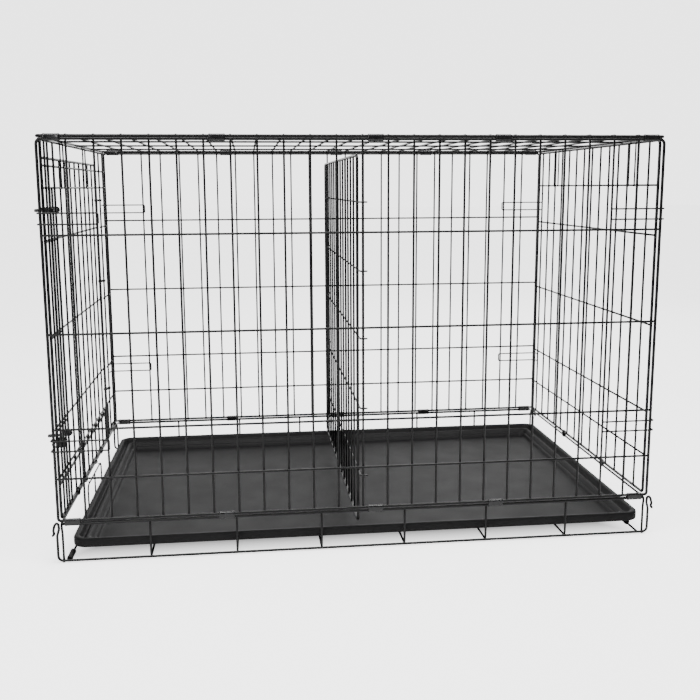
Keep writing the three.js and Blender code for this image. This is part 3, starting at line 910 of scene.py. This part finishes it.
def tray():
    """A thermoformed pan, drawn as one skin: outside up, over the lip, down to the floor."""
    build = Build()
    # Distance in from the rim's outer edge, and height
    section = [
        (100.0, 7.4), (90.0, 7.7), (86.0, 12.0), (82.0, 12.5), (47.0, 12.5), (43.6, 13.6),
        (41.4, 17.0), (40.0, 23.0), (37.5, 24.6), (4.0, 24.3), (1.6, 24.0), (0.5, 25.0),
        (0.0, 27.0), (0.0, 38.6), (0.9, 41.2), (2.6, 42.0), (8.4, 41.9), (10.4, 40.6),
        (11.6, 37.4), (13.4, 30.4), (15.2, 28.2), (18.0, 27.9), (19.8, 29.2), (21.6, 32.6),
        (23.6, 34.0), (27.4, 33.8), (29.8, 32.2), (32.6, 27.2), (38.6, 19.6), (42.0, 16.6),
        (46.0, 15.4), (52.0, 15.2), (70.0, 15.0),
    ]
    half_x = (TRAY["x1"] - TRAY["x0"]) / 2
    middle = (TRAY["x1"] + TRAY["x0"]) / 2
    corner_taper, smallest_corner = 0.55, 14.0
    rings = []
    for inset, z in section:
        radius = max(TRAY["radius"] - inset * corner_taper, smallest_corner)
        loop = rounded_rectangle(half_x - inset, TRAY["y"] - inset, radius)
        rings.append([Vector((u + middle, v, z)) for u, v in loop])
    first = build.grid(rings)
    count = len(rings[0])
    build.cap(first + (len(rings) - 1) * count, count)
    build.cap(first, count, reverse=True)
    build.make("tray_pan", PLASTIC, "tray", ["tray"])


tray()


# ------------------------------------------------------------------ tray stop
def tray_stop():
    """A wire flap that hangs in front of the tray by two closed eyes round the end rail."""
    build = Build()
    x, y0, y1, top, bottom = (STOP[k] for k in ("x", "y0", "y1", "top", "bottom"))
    middle = (y0 + y1) / 2
    path = [(-x, y0, bottom), (-x, y0, top), (-x, y1, top), (-x, y1, bottom)]
    build.wire(fillet(path, 14.0, steps=8), STOP_R)
    build.wire([(-x, middle, bottom), (-x, middle, top)], STOP_R)
    build.blob((-x, middle, top), (1.9, 2.6, 2.6))
    for y in STOP["loops"]:
        eye = [(u, y, v) for u, v in circle(-END_X, BASE_RAIL_Z, STOP_EYE_R, sides=20)]
        build.wire(eye, STOP_EYE_WIRE_R, closed=True)
        build.wire([(-x - 2.4, y, top + 3.4), (-x, y, top - 0.4)], STOP_EYE_WIRE_R)
    build.make("tray_stop_wire", WIRE, "tray_stop", ["tray_stop"])


tray_stop()

# ------------------------------------------------------------------ studio, in metres
FLOOR_REACH = 30.0
# The tray's shade on the floor is a painted shadow: the floor's glow is dimmed by position over
# this rectangle.
SHADE_HALF = (("X", 0.6), ("Y", 0.37))  # the rectangle that the tray shades
SHADE_EDGE = (-0.09, 0.05)
SHADE_LIGHT = 0.06
FLOOR_GLOW = 2.75
BACKDROP_GLOW = 3.2
SCREEN_EDGE = (0.76, 0.97)
SCREEN_LIGHT = (0.14, 3.0)


def maths(nodes, links, operation, first, second=None):
    """A math node's value; an input is a socket or a number."""
    node = nodes.new("ShaderNodeMath")
    node.operation = operation
    for source, target in zip((first, second), node.inputs):
        if isinstance(source, bpy.types.NodeSocket):
            links.new(source, target)
        elif source is not None:
            target.default_value = source
    return node.outputs["Value"]


def shade_under(nodes, links):
    """A painted shadow on the floor's glow: 1 away from the crate, falling softly to little under
    its tray.
    """
    coords = nodes.new("ShaderNodeTexCoord")
    split = nodes.new("ShaderNodeSeparateXYZ")
    links.new(coords.outputs["Object"], split.inputs["Vector"])
    past_x, past_y = (
        maths(nodes, links, "SUBTRACT", maths(nodes, links, "ABSOLUTE", split.outputs[axis]), half)
        for axis, half in SHADE_HALF
    )
    fade = nodes.new("ShaderNodeMapRange")
    fade.interpolation_type = "SMOOTHSTEP"
    fade.inputs["From Min"].default_value, fade.inputs["From Max"].default_value = SHADE_EDGE
    fade.inputs["To Min"].default_value = SHADE_LIGHT
    links.new(maths(nodes, links, "MAXIMUM", past_x, past_y), fade.inputs["Value"])
    return fade.outputs["Result"]


def floor_white():
    """White board with a plain glow for the eye only, which dies away in a painted shadow under
    the tray.
    """
    material, nodes, links, shader = principled("studio_floor")
    shader.inputs["Base Color"].default_value = (0.93, 0.93, 0.93, 1)
    shader.inputs["Roughness"].default_value = 0.7
    shader.inputs["Specular IOR Level"].default_value = 0.2
    path = nodes.new("ShaderNodeLightPath")
    glow = nodes.new("ShaderNodeEmission")
    glow.inputs["Color"].default_value = (FLOOR_GLOW, FLOOR_GLOW, FLOOR_GLOW, 1)
    links.new(maths(nodes, links, "MULTIPLY", path.outputs["Is Camera Ray"],
                    shade_under(nodes, links)), glow.inputs["Strength"])
    add = nodes.new("ShaderNodeAddShader")
    links.new(shader.outputs["BSDF"], add.inputs[0])
    links.new(glow.outputs["Emission"], add.inputs[1])
    links.new(add.outputs["Shader"], nodes["Material Output"].inputs["Surface"])
    return material


floor_mesh = bpy.data.meshes.new("studio_floor")
floor_mesh.from_pydata([(-FLOOR_REACH, -FLOOR_REACH, 0), (FLOOR_REACH, -FLOOR_REACH, 0),
                        (FLOOR_REACH, FLOOR_REACH, 0), (-FLOOR_REACH, FLOOR_REACH, 0)],
                       [], [(0, 1, 2, 3)])
floor_mesh.materials.append(floor_white())
floor = bpy.data.objects.new("studio_floor", floor_mesh)
bpy.context.scene.collection.objects.link(floor)


def backdrop_light(sky, links):
    """Plain white for the eye; for everything else dim, with a bright screen behind."""
    direction = sky.new("ShaderNodeTexCoord")
    split = sky.new("ShaderNodeSeparateXYZ")
    links.new(direction.outputs["Generated"], split.inputs["Vector"])
    screen = sky.new("ShaderNodeMapRange")
    screen.interpolation_type = "SMOOTHSTEP"
    screen.inputs["From Min"].default_value, screen.inputs["From Max"].default_value = SCREEN_EDGE
    screen.inputs["To Min"].default_value, screen.inputs["To Max"].default_value = SCREEN_LIGHT
    links.new(split.outputs["Y"], screen.inputs["Value"])
    path = sky.new("ShaderNodeLightPath")
    choice = sky.new("ShaderNodeMix")
    links.new(path.outputs["Is Camera Ray"], choice.inputs["Factor"])
    links.new(screen.outputs["Result"], choice.inputs["A"])
    choice.inputs["B"].default_value = BACKDROP_GLOW
    return choice.outputs["Result"]


world = bpy.data.worlds.new("studio")
world.use_nodes = True
sky, sky_links = world.node_tree.nodes, world.node_tree.links
sky["Background"].inputs["Color"].default_value = (1, 1, 1, 1)
sky_links.new(backdrop_light(sky, sky_links), sky["Background"].inputs["Strength"])
bpy.context.scene.world = world


def softbox(name, location, target, size, power):
    data = bpy.data.lights.new(name, "AREA")
    data.shape = "RECTANGLE"
    data.size, data.size_y = size
    data.energy = power
    item = bpy.data.objects.new(name, data)
    bpy.context.scene.collection.objects.link(item)
    item.location = location
    aim = Vector(target) - Vector(location)
    item.rotation_euler = aim.to_track_quat("-Z", "Y").to_euler()


softbox("key_top", (0.0, -0.9, 2.6), (0, 0, 0.3), (3.0, 0.6), 100)
softbox("fill_front", (-2.0, -3.0, 1.5), (0, 0, 0.4), (1.2, 1.2), 26)
softbox("sheen_back", (1.9, 2.8, 1.9), (0.3, 0, 0.1), (2.6, 1.0), 25)

# ------------------------------------------------------------------ camera
CAMERA_AT = (-225.3, -2097.4, 741.0)  # model millimetres
HEADING = math.radians(6.481)
TILT = math.radians(-9.149)
ROLL = math.radians(-0.271)
FOCAL_LENGTH = 45.09
SHIFT = (0.0029, -0.0311)

forward = Vector((math.sin(HEADING) * math.cos(TILT), math.cos(HEADING) * math.cos(TILT),
                  math.sin(TILT)))
level = Vector((math.cos(HEADING), -math.sin(HEADING), 0.0))
upright = level.cross(forward)
right = level * math.cos(ROLL) + upright * math.sin(ROLL)
up = upright * math.cos(ROLL) - level * math.sin(ROLL)
camera_data = bpy.data.cameras.new("camera")
camera_data.sensor_width = 36.0
camera_data.lens = FOCAL_LENGTH
camera_data.shift_x, camera_data.shift_y = SHIFT
camera_data.clip_end = 100.0
camera = bpy.data.objects.new("camera", camera_data)
bpy.context.scene.collection.objects.link(camera)
turn = Matrix((right, up, -forward)).transposed()
camera.matrix_world = Matrix.Translation(row(*CAMERA_AT)) @ turn.to_4x4()
bpy.context.scene.camera = camera
